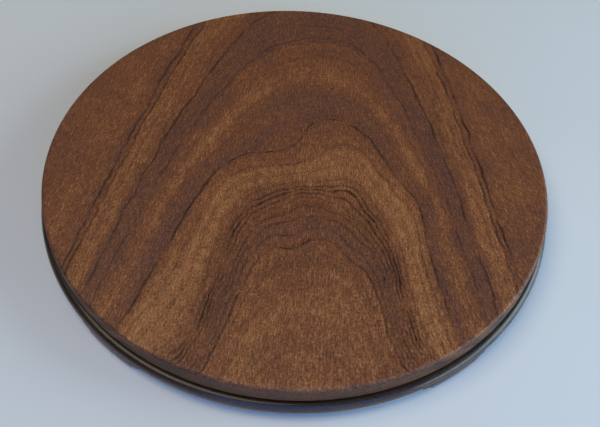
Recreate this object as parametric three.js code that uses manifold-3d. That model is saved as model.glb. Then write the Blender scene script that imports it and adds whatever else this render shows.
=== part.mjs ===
// Lazy susan turntable: a round wooden top on a ball-race bearing, over a round wooden base with five feet.
// Millimetres, +Z up. The origin is on the bearing's axis, at the surface that the felt pads stand on.

import * as THREE from 'three';
import { mergeVertices } from 'three/addons/utils/BufferGeometryUtils.js';
import Module from 'manifold-3d';

const wasm = await Module();
wasm.setup();

// ---- driving dimensions ----

const TOP_RADIUS = 150;
const TOP_THICKNESS = 12;
const TOP_UPPER_ROUND = 2.2;
const TOP_LOWER_ROUND = 1.8;

const BASE_RADIUS = 153.4;
const BASE_THICKNESS = 5.3;
const BASE_UPPER_ROUND = 3.4;
const BASE_LOWER_ROUND = 1;
const DISC_GAP = 1.2;

const FOOT_COUNT = 5;
const FIRST_FOOT_AZIMUTH = -54;
const FOOT_HEIGHT = 5;
const FOOT_OUTER_RADIUS = BASE_RADIUS;
const FOOT_INNER_RADIUS = 127;
const FOOT_TOP_HALF_LENGTH = 21;
const FOOT_SOLE_HALF_LENGTH = 15;
const FOOT_EDGE_ROUND = 1.2;
const FOOT_WING_THICKNESS = 0.8;
const FOOT_COVE_REACH = 1.5;

const PAD_THICKNESS = 1;
const PAD_RADIUS = 5.5;
const PAD_CIRCLE_RADIUS = 144;
const PAD_EDGE = 0.3;

const PLATE_SIDE = 102;
const PLATE_CORNER_ROUND = 10;
const PLATE_GAUGE = 1;
const PLATE_HOLE_OFFSET = 44.5;
const BEARING_HEIGHT = 8;
const POCKET_RADIUS = 71;
const BASE_POCKET_DEPTH = 2.4;
const UPPER_PLATE_TURN = 45;
const SHOULDER_RISE = 1.8;
const SHOULDER_HALF_WIDTH = 4.5;
const SHOULDER_SLOPE_WIDTH = 3;
const SHOULDER_FOLD = 0.4;
const LOWER_PLATE_BORE = 22;
const UPPER_PLATE_BORE = 26;

const RACE_RADIUS = 36;
const BALL_RADIUS = 2.38;
const BALL_COUNT = 16;
const RUNNING_GAP = 0.25;
const FITTED_GAP = 0.3;

const CAGE_THICKNESS = 0.8;
const CAGE_HALF_WIDTH = 3.6;

const EYELET_WALL = 1;
const EYELET_FLANGE_RADIUS = 29;
const EYELET_FLANGE_GAUGE = 0.7;

const FOOT_SCREW = { head: 3.2, headDepth: 1.7, shank: 1.5, length: 8.5 };
const FOOT_SCREW_CIRCLE_RADIUS = 134.5;
const FOOT_SCREW_SPREAD = 8.5;

const MACHINE_SCREW = { head: 3.8, headDepth: 1.8, shank: 2, length: 6.6 };
const NUT_ACROSS_FLATS = 7;
const NUT_HEIGHT = 2.2;

const PAN_SCREW = { head: 3.4, headDepth: 1.9, shank: 1.6, length: 6, edge: 0.8, tip: 1.5 };

const DRIVER_HOLE_RADIUS = 7.5;
const DRIVE_SLOT_WIDTH = 1;
const DRIVE_SLOT_LENGTH = 3.6;
const DRIVE_SLOT_DEPTH = 0.9;

const DISC_SIDES = 64;
const BEARING_SIDES = 40;
const FOOT_RING_SIDES = 120;
const SMALL_SIDES = 12;
const POCKET_SIDES = 10;

// How far a cutter runs past the face that it opens, and a blank past the shape that trims it.
const CUT_MARGIN = 1;
const BLANK_MARGIN = 10;

// ---- levels, from the ground up ----

const FOOT_SOLE_Z = PAD_THICKNESS;
const BASE_BOTTOM_Z = FOOT_SOLE_Z + FOOT_HEIGHT;
const BASE_TOP_Z = BASE_BOTTOM_Z + BASE_THICKNESS;
const TOP_BOTTOM_Z = BASE_TOP_Z + DISC_GAP;
const TOP_FACE_Z = TOP_BOTTOM_Z + TOP_THICKNESS;
const BEARING_BOTTOM_Z = BASE_TOP_Z - BASE_POCKET_DEPTH;
const BEARING_TOP_Z = BEARING_BOTTOM_Z + BEARING_HEIGHT;
const BALL_Z = (BEARING_BOTTOM_Z + BEARING_TOP_Z) / 2;

// ---- materials ----

const topWood = new THREE.MeshStandardMaterial({ color: 0x684531, roughness: 0.5, metalness: 0 });
const baseWood = new THREE.MeshStandardMaterial({ color: 0x3c2418, roughness: 0.4, metalness: 0 });
const felt = new THREE.MeshStandardMaterial({ color: 0x3a2e27, roughness: 0.95, metalness: 0 });
const zincSteel = new THREE.MeshStandardMaterial({ color: 0xb9bcbb, roughness: 0.4, metalness: 1 });
const screwSteel = new THREE.MeshStandardMaterial({ color: 0xc6bb92, roughness: 0.35, metalness: 1 });
const ballSteel = new THREE.MeshStandardMaterial({ color: 0xd8d9da, roughness: 0.12, metalness: 1 });
const nylon = new THREE.MeshStandardMaterial({ color: 0xe4e0d2, roughness: 0.5, metalness: 0 });

// ---- shared helpers ----

const radians = THREE.MathUtils.degToRad;

// A closed solid for cutting and joining: shared vertices merged, flat triangles at the axis left out.
function toSolid(geometry) {
  const bare = geometry.clone();
  bare.deleteAttribute('normal');
  bare.deleteAttribute('uv');
  const merged = mergeVertices(bare, 1e-4);
  const corners = merged.index.array;
  const kept = [];
  for (let i = 0; i < corners.length; i += 3) {
    const [a, b, c] = [corners[i], corners[i + 1], corners[i + 2]];
    if (a !== b && b !== c && c !== a) {
      kept.push(a, b, c);
    }
  }
  const vertProperties = new Float32Array(merged.attributes.position.array);
  return new wasm.Manifold(new wasm.Mesh({ numProp: 3, vertProperties, triVerts: new Uint32Array(kept) }));
}

function toGeometry(solid) {
  const { vertProperties, triVerts } = solid.getMesh();
  const geometry = new THREE.BufferGeometry();
  geometry.setAttribute('position', new THREE.BufferAttribute(vertProperties, 3));
  geometry.setIndex(new THREE.BufferAttribute(triVerts, 1));
  return geometry;
}

// A solid turned about the Z axis from an outline of [radius, height] points.
function turned(outline, sides) {
  const points = outline.map(([r, z]) => new THREE.Vector2(r, z));
  return toSolid(new THREE.LatheGeometry(points, sides).rotateX(Math.PI / 2));
}

// The same for a ring, whose outline closes on itself clear of the axis.
function turnedRing(outline, sides) {
  return turned([...outline, outline[0]], sides);
}

// Points along an arc in the [radius, height] plane, from one angle to another in degrees.
function arc(centreR, centreZ, radius, from, to, steps) {
  const points = [];
  for (let i = 0; i <= steps; i += 1) {
    const angle = radians(from + ((to - from) * i) / steps);
    points.push([centreR + radius * Math.cos(angle), centreZ + radius * Math.sin(angle)]);
  }
  return points;
}

function cylinder(radius, fromZ, toZ, sides) {
  return turned([[0, fromZ], [radius, fromZ], [radius, toZ], [0, toZ]], sides);
}

function placedAt(solid, x, y) {
  return solid.translate([x, y, 0]);
}

function atAzimuth(radius, azimuth) {
  return [radius * Math.cos(radians(azimuth)), radius * Math.sin(radians(azimuth))];
}

function plateHoles() {
  const places = [];
  for (let i = 0; i < 4; i += 1) {
    places.push(atAzimuth(PLATE_HOLE_OFFSET * Math.SQRT2, 45 + 90 * i));
  }
  return places;
}

function addPiece(group, name, solid, material, [x, y] = [0, 0], turn = 0) {
  const mesh = new THREE.Mesh(toGeometry(solid), material);
  mesh.name = name;
  mesh.position.set(x, y, 0);
  mesh.rotation.z = radians(turn);
  group.add(mesh);
}

// ---- screws: their outlines run up along Z from the drive end ----

function crossDrive(faceZ) {
  const bar = new THREE.BoxGeometry(DRIVE_SLOT_LENGTH, DRIVE_SLOT_WIDTH, 2 * DRIVE_SLOT_DEPTH);
  const first = toSolid(bar.translate(0, 0, faceZ));
  return first.add(first.rotate([0, 0, 90]));
}

// A countersunk screw with its flat head down at headZ and its shank up.
function countersunkSolid(screw, headZ, growth) {
  return turned([
    [0, headZ],
    [screw.head + growth, headZ],
    [screw.shank + growth, headZ + screw.headDepth],
    [screw.shank + growth, headZ + screw.length + growth],
    [0, headZ + screw.length + growth],
  ], SMALL_SIDES);
}

function countersunkScrew(screw, headZ) {
  return countersunkSolid(screw, headZ, 0).subtract(crossDrive(headZ));
}

// A pan-head screw that hangs under the upper plate, its shank up in the top.
function panScrew(plateZ) {
  const headZ = plateZ - PAN_SCREW.headDepth;
  const body = turned([
    [0, headZ],
    [PAN_SCREW.head - PAN_SCREW.edge, headZ],
    [PAN_SCREW.head, headZ + PAN_SCREW.edge],
    [PAN_SCREW.head, plateZ],
    [PAN_SCREW.shank, plateZ],
    [PAN_SCREW.shank, plateZ + PAN_SCREW.length - PAN_SCREW.tip],
    [0, plateZ + PAN_SCREW.length],
  ], SMALL_SIDES);
  return body.subtract(crossDrive(headZ));
}

// ---- base ----

// Where the two screws of a foot stand, on the foot that faces -Y.
function footScrewPlaces() {
  return [[-FOOT_SCREW_SPREAD, -FOOT_SCREW_CIRCLE_RADIUS], [FOOT_SCREW_SPREAD, -FOOT_SCREW_CIRCLE_RADIUS]];
}

function footAzimuth(i) {
  return FIRST_FOOT_AZIMUTH + (360 / FOOT_COUNT) * i;
}

// The turn about Z that carries the foot facing -Y to its own azimuth.
function footTurn(i) {
  return footAzimuth(i) + 90;
}

function baseDisc() {
  const upper = BASE_UPPER_ROUND;
  const lower = BASE_LOWER_ROUND;
  let disc = turned([
    [0, BASE_BOTTOM_Z],
    ...arc(BASE_RADIUS - lower, BASE_BOTTOM_Z + lower, lower, -90, 0, 2),
    ...arc(BASE_RADIUS - upper, BASE_TOP_Z - upper, upper, 0, 90, 3),
    [POCKET_RADIUS, BASE_TOP_Z],
    [POCKET_RADIUS, BEARING_BOTTOM_Z],
    [0, BEARING_BOTTOM_Z],
  ], DISC_SIDES);
  const screwHole = countersunkSolid(MACHINE_SCREW, BASE_BOTTOM_Z, FITTED_GAP);
  for (const [x, y] of plateHoles()) {
    disc = disc.subtract(placedAt(screwHole, x, y));
  }
  const below = BASE_BOTTOM_Z - CUT_MARGIN;
  const driverHole = cylinder(DRIVER_HOLE_RADIUS, below, BASE_TOP_Z, 2 * SMALL_SIDES);
  disc = disc.subtract(placedAt(driverHole, 0, -PLATE_HOLE_OFFSET * Math.SQRT2));
  const pilotTop = FOOT_SOLE_Z + FOOT_SCREW.length + FITTED_GAP;
  const pilotHole = cylinder(FOOT_SCREW.shank + FITTED_GAP, below, pilotTop, SMALL_SIDES);
  for (let i = 0; i < FOOT_COUNT; i += 1) {
    for (const [x, y] of footScrewPlaces()) {
      disc = disc.subtract(placedAt(pilotHole, x, y).rotate([0, 0, footTurn(i)]));
    }
  }
  return disc;
}

// A bracket foot: flat sole, ends that cove up to thin wings, outer face concentric with the rim.
function foot() {
  const lip = BASE_BOTTOM_Z - FOOT_WING_THICKNESS;
  const side = new THREE.Shape();
  side.moveTo(FOOT_TOP_HALF_LENGTH, BASE_BOTTOM_Z);
  side.lineTo(-FOOT_TOP_HALF_LENGTH, BASE_BOTTOM_Z);
  side.lineTo(-FOOT_TOP_HALF_LENGTH, lip);
  side.quadraticCurveTo(-FOOT_SOLE_HALF_LENGTH - FOOT_COVE_REACH, lip, -FOOT_SOLE_HALF_LENGTH, FOOT_SOLE_Z);
  side.lineTo(FOOT_SOLE_HALF_LENGTH, FOOT_SOLE_Z);
  side.quadraticCurveTo(FOOT_SOLE_HALF_LENGTH + FOOT_COVE_REACH, lip, FOOT_TOP_HALF_LENGTH, lip);
  const depth = FOOT_OUTER_RADIUS - FOOT_INNER_RADIUS + 2 * BLANK_MARGIN;
  const block = new THREE.ExtrudeGeometry(side, { depth, bevelEnabled: false, curveSegments: 5 });
  block.translate(0, 0, FOOT_INNER_RADIUS - BLANK_MARGIN).rotateX(Math.PI / 2);
  const roundR = FOOT_OUTER_RADIUS - FOOT_EDGE_ROUND;
  const ring = turnedRing([
    [FOOT_INNER_RADIUS, FOOT_SOLE_Z],
    ...arc(roundR, FOOT_SOLE_Z + FOOT_EDGE_ROUND, FOOT_EDGE_ROUND, -90, 0, 3),
    [FOOT_OUTER_RADIUS, BASE_BOTTOM_Z],
    [FOOT_INNER_RADIUS, BASE_BOTTOM_Z],
  ], FOOT_RING_SIDES);
  let solid = toSolid(block).intersect(ring);
  const screwHole = countersunkSolid(FOOT_SCREW, FOOT_SOLE_Z, FITTED_GAP);
  for (const [x, y] of footScrewPlaces()) {
    solid = solid.subtract(placedAt(screwHole, x, y));
  }
  return solid;
}

function footPad() {
  return turned([
    [0, 0],
    [PAD_RADIUS - PAD_EDGE, 0],
    [PAD_RADIUS, PAD_EDGE],
    [PAD_RADIUS, PAD_THICKNESS],
    [0, PAD_THICKNESS],
  ], 2 * SMALL_SIDES);
}

// ---- bearing ----

// The square outline of a plate as a tall prism, to trim a turned blank to.
function squareBlank() {
  const half = PLATE_SIDE / 2;
  const flat = half - PLATE_CORNER_ROUND;
  const outline = new THREE.Shape();
  outline.absarc(flat, flat, PLATE_CORNER_ROUND, 0, Math.PI / 2);
  outline.absarc(-flat, flat, PLATE_CORNER_ROUND, Math.PI / 2, Math.PI);
  outline.absarc(-flat, -flat, PLATE_CORNER_ROUND, Math.PI, 1.5 * Math.PI);
  outline.absarc(flat, -flat, PLATE_CORNER_ROUND, 1.5 * Math.PI, 2 * Math.PI);
  const depth = 3 * BEARING_HEIGHT;
  const prism = new THREE.ExtrudeGeometry(outline, { depth, bevelEnabled: false, curveSegments: 6 });
  return toSolid(prism.translate(0, 0, -BEARING_HEIGHT));
}

// A stamped plate that lies flat at height 0, with its shoulders and ball groove pressed up out of it.
function racePlate(bore) {
  const ballHeight = BEARING_HEIGHT / 2;
  const grooveRadius = BALL_RADIUS + RUNNING_GAP;
  const backRadius = grooveRadius + PLATE_GAUGE;
  const shoulder = SHOULDER_RISE + PLATE_GAUGE;
  const grooveAngle = THREE.MathUtils.radToDeg(Math.acos((ballHeight - shoulder) / grooveRadius));
  const backAngle = THREE.MathUtils.radToDeg(Math.acos((ballHeight - SHOULDER_RISE) / backRadius));
  const slopeStart = RACE_RADIUS + SHOULDER_HALF_WIDTH;
  const slopeEnd = slopeStart + SHOULDER_SLOPE_WIDTH;
  const blankRadius = PLATE_SIDE / Math.SQRT2 + BLANK_MARGIN;
  const blank = turnedRing([
    [bore, SHOULDER_RISE],
    ...arc(RACE_RADIUS, ballHeight, backRadius, -90 - backAngle, -90 + backAngle, 4),
    [slopeStart, SHOULDER_RISE],
    [slopeEnd, 0],
    [blankRadius, 0],
    [blankRadius, PLATE_GAUGE],
    [slopeEnd + SHOULDER_FOLD, PLATE_GAUGE],
    [slopeStart + SHOULDER_FOLD, shoulder],
    ...arc(RACE_RADIUS, ballHeight, grooveRadius, -90 + grooveAngle, -90 - grooveAngle, 4),
    [bore, shoulder],
  ], BEARING_SIDES);
  let plate = blank.intersect(squareBlank());
  const hole = cylinder(MACHINE_SCREW.shank + FITTED_GAP, -CUT_MARGIN, PLATE_GAUGE + CUT_MARGIN, SMALL_SIDES);
  for (const [x, y] of plateHoles()) {
    plate = plate.subtract(placedAt(hole, x, y));
  }
  return plate;
}

function lowerRacePlate() {
  return racePlate(LOWER_PLATE_BORE).translate([0, 0, BEARING_BOTTOM_Z]);
}

function upperRacePlate() {
  return racePlate(UPPER_PLATE_BORE).rotate([180, 0, 0]).translate([0, 0, BEARING_TOP_Z]);
}

// A tube turned out to a flange at both ends: one lies under the lower plate, one over the upper plate.
function raceEyelet() {
  const tube = LOWER_PLATE_BORE - FITTED_GAP;
  const inner = tube - EYELET_WALL;
  const underside = BEARING_BOTTOM_Z + SHOULDER_RISE - FITTED_GAP;
  const overside = BEARING_TOP_Z - SHOULDER_RISE + FITTED_GAP;
  return turnedRing([
    [inner, underside - EYELET_FLANGE_GAUGE],
    [EYELET_FLANGE_RADIUS, underside - EYELET_FLANGE_GAUGE],
    [EYELET_FLANGE_RADIUS, underside],
    [tube, underside],
    [tube, overside],
    [EYELET_FLANGE_RADIUS, overside],
    [EYELET_FLANGE_RADIUS, overside + EYELET_FLANGE_GAUGE],
    [inner, overside + EYELET_FLANGE_GAUGE],
  ], BEARING_SIDES);
}

function hexNut() {
  const circumradius = NUT_ACROSS_FLATS / Math.sqrt(3);
  const bottom = BEARING_BOTTOM_Z + PLATE_GAUGE;
  const body = cylinder(circumradius, bottom, bottom + NUT_HEIGHT, 6);
  const top = bottom + NUT_HEIGHT + CUT_MARGIN;
  const bore = cylinder(MACHINE_SCREW.shank + FITTED_GAP, bottom - CUT_MARGIN, top, SMALL_SIDES);
  return body.subtract(bore);
}

function ball() {
  return toSolid(new THREE.SphereGeometry(BALL_RADIUS, 8, 6).translate(0, 0, BALL_Z));
}

function ballAzimuth(i) {
  return (360 / BALL_COUNT) * i;
}

function ballCageRing() {
  const low = BALL_Z - CAGE_THICKNESS / 2;
  const high = BALL_Z + CAGE_THICKNESS / 2;
  const inner = RACE_RADIUS - CAGE_HALF_WIDTH;
  const outer = RACE_RADIUS + CAGE_HALF_WIDTH;
  let ring = turnedRing([[inner, low], [outer, low], [outer, high], [inner, high]], BEARING_SIDES);
  const pocket = cylinder(BALL_RADIUS + FITTED_GAP, low - CUT_MARGIN, high + CUT_MARGIN, POCKET_SIDES);
  for (let i = 0; i < BALL_COUNT; i += 1) {
    const [x, y] = atAzimuth(RACE_RADIUS, ballAzimuth(i));
    ring = ring.subtract(placedAt(pocket, x, y));
  }
  return ring;
}

// ---- top ----

function topDisc() {
  const upper = TOP_UPPER_ROUND;
  const lower = TOP_LOWER_ROUND;
  let disc = turned([
    [0, BEARING_TOP_Z],
    [POCKET_RADIUS, BEARING_TOP_Z],
    [POCKET_RADIUS, TOP_BOTTOM_Z],
    ...arc(TOP_RADIUS - lower, TOP_BOTTOM_Z + lower, lower, -90, 0, 3),
    ...arc(TOP_RADIUS - upper, TOP_FACE_Z - upper, upper, 0, 90, 4),
    [0, TOP_FACE_Z],
  ], DISC_SIDES);
  const pilotTop = BEARING_TOP_Z - PLATE_GAUGE + PAN_SCREW.length + FITTED_GAP;
  const pilotHole = cylinder(PAN_SCREW.shank + FITTED_GAP, BEARING_TOP_Z - CUT_MARGIN, pilotTop, SMALL_SIDES);
  for (const [x, y] of plateHoles()) {
    disc = disc.subtract(placedAt(pilotHole, x, y).rotate([0, 0, UPPER_PLATE_TURN]));
  }
  return disc;
}

// ---- assembly ----

function baseBody() {
  const group = new THREE.Group();
  addPiece(group, 'base_disc', baseDisc(), baseWood);
  const footSolid = foot();
  const padSolid = footPad();
  const footScrewSolid = countersunkScrew(FOOT_SCREW, FOOT_SOLE_Z);
  for (let i = 0; i < FOOT_COUNT; i += 1) {
    addPiece(group, `foot_${i + 1}`, footSolid, baseWood, [0, 0], footTurn(i));
    addPiece(group, `foot_pad_${i + 1}`, padSolid, felt, atAzimuth(PAD_CIRCLE_RADIUS, footAzimuth(i)));
    footScrewPlaces().forEach((place, k) => {
      const spot = new THREE.Vector2(...place).rotateAround(new THREE.Vector2(), radians(footTurn(i)));
      addPiece(group, `foot_screw_${i + 1}${'ab'[k]}`, footScrewSolid, screwSteel, [spot.x, spot.y]);
    });
  }
  addPiece(group, 'lower_race_plate', lowerRacePlate(), zincSteel);
  addPiece(group, 'race_eyelet', raceEyelet(), zincSteel);
  const machineScrewSolid = countersunkScrew(MACHINE_SCREW, BASE_BOTTOM_Z);
  const nutSolid = hexNut();
  plateHoles().forEach((place, i) => {
    addPiece(group, `lower_plate_screw_${i + 1}`, machineScrewSolid, screwSteel, place);
    addPiece(group, `lower_plate_nut_${i + 1}`, nutSolid, screwSteel, place);
  });
  return group;
}

function turntableBody() {
  const group = new THREE.Group();
  addPiece(group, 'top_disc', topDisc(), topWood);
  addPiece(group, 'upper_race_plate', upperRacePlate(), zincSteel, [0, 0], UPPER_PLATE_TURN);
  const screwSolid = panScrew(BEARING_TOP_Z - PLATE_GAUGE);
  for (let i = 0; i < 4; i += 1) {
    const place = atAzimuth(PLATE_HOLE_OFFSET * Math.SQRT2, 45 + 90 * i + UPPER_PLATE_TURN);
    addPiece(group, `upper_plate_screw_${i + 1}`, screwSolid, screwSteel, place);
  }
  return group;
}

function ballCageBody() {
  const group = new THREE.Group();
  addPiece(group, 'ball_cage_ring', ballCageRing(), nylon);
  const ballSolid = ball();
  for (let i = 0; i < BALL_COUNT; i += 1) {
    const number = String(i + 1).padStart(2, '0');
    addPiece(group, `ball_${number}`, ballSolid, ballSteel, atAzimuth(RACE_RADIUS, ballAzimuth(i)));
  }
  return group;
}

const turntable = new THREE.Group();
turntable.add(baseBody(), turntableBody(), ballCageBody());

export default turntable;
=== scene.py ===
"""The looks of a lazy susan turntable: a round wooden top that turns on a ball race over a wooden base.

Lengths are metres in the frame of the CAD model, and MM turns millimetres into them. Surfaces are worked
out as whole arrays: each function that makes one says its formula in words.
"""

from math import cos, pi, radians, sin, sqrt

import bpy
import numpy as np
from bpy.props import FloatProperty, FloatVectorProperty, IntProperty, PointerProperty
from mathutils import Matrix, Vector


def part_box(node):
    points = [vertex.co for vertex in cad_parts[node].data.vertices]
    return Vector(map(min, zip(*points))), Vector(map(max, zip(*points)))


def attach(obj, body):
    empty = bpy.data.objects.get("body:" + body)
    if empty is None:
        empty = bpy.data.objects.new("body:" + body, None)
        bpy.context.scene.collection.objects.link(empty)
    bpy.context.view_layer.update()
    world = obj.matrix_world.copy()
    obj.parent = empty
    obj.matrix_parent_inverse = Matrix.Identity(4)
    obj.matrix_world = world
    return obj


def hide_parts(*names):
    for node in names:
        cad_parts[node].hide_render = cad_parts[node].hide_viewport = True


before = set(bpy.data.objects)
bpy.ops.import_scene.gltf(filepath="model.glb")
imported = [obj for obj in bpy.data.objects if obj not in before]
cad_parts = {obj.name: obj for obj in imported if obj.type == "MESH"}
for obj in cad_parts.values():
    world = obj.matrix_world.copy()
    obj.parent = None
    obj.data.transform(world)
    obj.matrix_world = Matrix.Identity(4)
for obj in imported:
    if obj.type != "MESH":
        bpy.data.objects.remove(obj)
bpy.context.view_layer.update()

bl_info = {
    "name": "Lazy susan turntable",
    "version": (1, 0, 0),
    "blender": (4, 5, 0),
    "location": "3D View > Sidebar > Turntable",
    "description": "Builds the wood, felt and bearing hardware of a lazy susan turntable",
    "category": "Object",
}

MM = 0.001

TOP_LOW, TOP_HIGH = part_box("top_disc")
BASE_LOW, BASE_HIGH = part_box("base_disc")
FOOT_LOW, FOOT_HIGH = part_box("foot_1")
EYELET_LOW, EYELET_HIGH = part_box("race_eyelet")
CAGE_LOW, CAGE_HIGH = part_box("ball_cage_ring")
BEARING_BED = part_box("lower_race_plate")[0].z
BEARING_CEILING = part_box("upper_race_plate")[1].z
NODES = sorted(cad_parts)

# The radius, in metres, up to which a profile's first point counts as on the axis.
ON_AXIS = 1e-9
# An edge that bends by more than this many degrees is drawn sharp.
SHARP = 38


def nodes_named(start):
    """The CAD nodes whose names begin with start, in order."""
    return [name for name in NODES if name.startswith(start)]


def centre_of(node):
    """The middle of a CAD node's box."""
    low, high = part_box(node)
    return (low + high) / 2


def colour(code):
    """A colour written as an sRGB hex value, as linear red, green and blue."""
    parts = [int(code[k:k + 2], 16) / 255 for k in (1, 3, 5)]
    return tuple(v / 12.92 if v <= 0.04045 else ((v + 0.055) / 1.055) ** 2.4 for v in parts)


def opaque(rgb):
    """Red, green, blue and full alpha."""
    return (*rgb, 1.0)


# ---- settings ----

class WoodSettings(bpy.types.PropertyGroup):
    """The two turned boards and the feet under them."""

    upper_round: FloatProperty(
        name="Upper rounding", description="Radius of the top board's upper edge",
        default=2.2 * MM, unit="LENGTH")
    lower_round: FloatProperty(
        name="Lower rounding", description="Radius of the top board's lower edge",
        default=1.8 * MM, unit="LENGTH")
    base_upper_round: FloatProperty(
        name="Base upper rounding", description="Radius of the base board's upper edge",
        default=3.4 * MM, unit="LENGTH")
    base_lower_round: FloatProperty(
        name="Base lower rounding", description="Radius of the base board's lower edge",
        default=1 * MM, unit="LENGTH")
    pocket_radius: FloatProperty(
        name="Pocket radius", description="Radius of the pocket that each board has for the bearing",
        default=71 * MM, unit="LENGTH")
    sides: IntProperty(
        name="Steps around", description="Steps around a turned board",
        default=288, min=48)
    heartwood: FloatVectorProperty(
        name="Heartwood", description="Ground colour of the wood between its rings",
        default=colour("#7f4b2d"), size=3, subtype="COLOR")
    pale_grain: FloatVectorProperty(
        name="Pale grain", description="Colour of the light bands and streaks",
        default=colour("#ab7042"), size=3, subtype="COLOR")
    purple_grain: FloatVectorProperty(
        name="Purple grain", description="Colour of the cool, dense bands",
        default=colour("#623f33"), size=3, subtype="COLOR")
    dust: FloatVectorProperty(
        name="Dust", description="Colour of the pale filling in the cut vessels",
        default=colour("#a5805f"), size=3, subtype="COLOR")
    dark_line: FloatVectorProperty(
        name="Dark line", description="Colour of the thin lines at the end of a year's growth",
        default=colour("#25110a"), size=3, subtype="COLOR")


class BearingSettings(bpy.types.PropertyGroup):
    """The stamped plates and the ball race between them."""

    race_radius: FloatProperty(
        name="Race radius", description="Radius of the circle of balls",
        default=36 * MM, unit="LENGTH")
    plate_gauge: FloatProperty(
        name="Plate gauge", description="Thickness of the stamped steel",
        default=1 * MM, unit="LENGTH")
    hole_offset: FloatProperty(
        name="Hole offset", description="Distance of a plate's screw holes from its middle lines",
        default=44.5 * MM, unit="LENGTH")
    zinc: FloatVectorProperty(
        name="Zinc", description="Colour of the galvanised sheet",
        default=colour("#b9bcbb"), size=3, subtype="COLOR")
    passivated: FloatVectorProperty(
        name="Passivated zinc", description="Colour of the yellow zinc on screws and nuts",
        default=colour("#c9ba84"), size=3, subtype="COLOR")
    nylon: FloatVectorProperty(
        name="Nylon", description="Colour of the ball cage",
        default=colour("#e0dccd"), size=3, subtype="COLOR")
    felt: FloatVectorProperty(
        name="Felt", description="Colour of the pads under the feet",
        default=colour("#3c3029"), size=3, subtype="COLOR")


class StageSettings(bpy.types.PropertyGroup):
    """Camera, floor and lights."""

    distance: FloatProperty(
        name="Distance", description="From the camera to the middle of the top face",
        default=0.4246, unit="LENGTH")
    elevation: FloatProperty(
        name="Elevation", description="Height of the camera above the horizon",
        default=radians(46.8), subtype="ANGLE")
    azimuth: FloatProperty(
        name="Azimuth", description="Turn of the camera about the bearing's axis",
        default=radians(1), subtype="ANGLE")
    roll: FloatProperty(
        name="Roll", description="Turn of the camera about its line of sight",
        default=radians(3.36), subtype="ANGLE")
    aim_right: FloatProperty(
        name="Aim to the right", description="How far the camera looks to the right of the middle",
        default=radians(0.44), subtype="ANGLE")
    aim_up: FloatProperty(
        name="Aim up", description="How far the camera looks above the middle",
        default=radians(-4.48), subtype="ANGLE")
    lens: FloatProperty(
        name="Lens", description="Focal length on a 36 mm wide sensor",
        default=42, unit="CAMERA")
    floor_radius: FloatProperty(
        name="Floor radius", description="Radius of the pale floor",
        default=3, unit="LENGTH")
    floor: FloatVectorProperty(
        name="Floor", description="Colour of the floor",
        default=colour("#e2e5e5"), size=3, subtype="COLOR")


class TurntableSettings(bpy.types.PropertyGroup):
    """All the sizes and colours of the turntable."""

    wood: PointerProperty(type=WoodSettings)
    bearing: PointerProperty(type=BearingSettings)
    stage: PointerProperty(type=StageSettings)


def settings():
    """The turntable's settings in this scene."""
    return bpy.context.scene.turntable


# ---- surfaces ----

def full_turn(sides):
    """Evenly spaced angles of a whole turn, in radians, from 0."""
    return 2 * pi * np.arange(sides) / sides


def arc(centre, radius, start, end, steps=8):
    """Points of a circular arc: centre + radius (cos a, sin a), with a from start to end in degrees."""
    a = np.radians(np.linspace(start, end, steps + 1))
    return np.column_stack([centre[0] + radius * np.cos(a), centre[1] + radius * np.sin(a)])


def stretch(start, end, steps):
    """Evenly spaced points from start up to end, with end left out."""
    return np.linspace(start, end, steps, endpoint=False)


def wrapped_quads(rows, columns, wrap_rows=False):
    """Faces (i, j), (i, j+1), (i+1, j+1), (i+1, j) of a grid whose columns close on themselves."""
    i, j = np.meshgrid(np.arange(rows - (not wrap_rows)), np.arange(columns), indexing="ij")
    i_next, j_next = (i + 1) % rows, (j + 1) % columns
    corners = [i * columns + j, i * columns + j_next, i_next * columns + j_next, i_next * columns + j]
    return np.stack(corners, -1).reshape(-1, 4)


def closed_grid(points):
    """A shell from a grid of points, rows x columns x 3, whose columns close on themselves.
    A fan to the mean of the first row and one to the mean of the last row close its ends."""
    rows, columns = points.shape[:2]
    ends = np.stack([points[0].mean(0), points[-1].mean(0)])
    vertices = np.vstack([points.reshape(-1, 3), ends])
    j = np.arange(columns)
    j_next = (j + 1) % columns
    last = (rows - 1) * columns
    first_fan = np.column_stack([np.full(columns, rows * columns), j_next, j])
    last_fan = np.column_stack([last + j, last + j_next, np.full(columns, rows * columns + 1)])
    faces = wrapped_quads(rows, columns).tolist() + first_fan.tolist() + last_fan.tolist()
    return vertices, faces


def turned(profile, sides, centre=(0, 0)):
    """A profile of (radius, height) turned about an upright axis: x = radius cos a, y = radius sin a.
    A profile that starts on the axis is closed there at both ends. Any other closes on itself as a ring."""
    a = full_turn(sides)
    solid = profile[0][0] < ON_AXIS
    body = np.asarray(profile[1:-1] if solid else profile)
    x = centre[0] + body[:, None, 0] * np.cos(a)
    y = centre[1] + body[:, None, 0] * np.sin(a)
    grid = np.stack([x, y, np.broadcast_to(body[:, None, 1], x.shape)], -1)
    if solid:
        return closed_grid(grid)
    return grid.reshape(-1, 3), wrapped_quads(len(body), sides, wrap_rows=True).tolist()


def stacked_rings(rows, a):
    """A ring-like shell from rows of (radii at the angles a, height): x = radius cos a, y = radius sin a.
    Its rows close on themselves as its columns do."""
    grid = np.stack([np.stack([r * np.cos(a), r * np.sin(a), np.full(len(a), z)], -1) for r, z in rows])
    return grid.reshape(-1, 3), wrapped_quads(len(rows), len(a), wrap_rows=True).tolist()


def together(shells):
    """Several shells as one list of vertices and one of faces."""
    vertices, faces, count = [], [], 0
    for shell_vertices, shell_faces in shells:
        vertices.append(shell_vertices)
        faces += [[corner + count for corner in face] for face in shell_faces]
        count += len(shell_vertices)
    return np.vstack(vertices), faces


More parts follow.
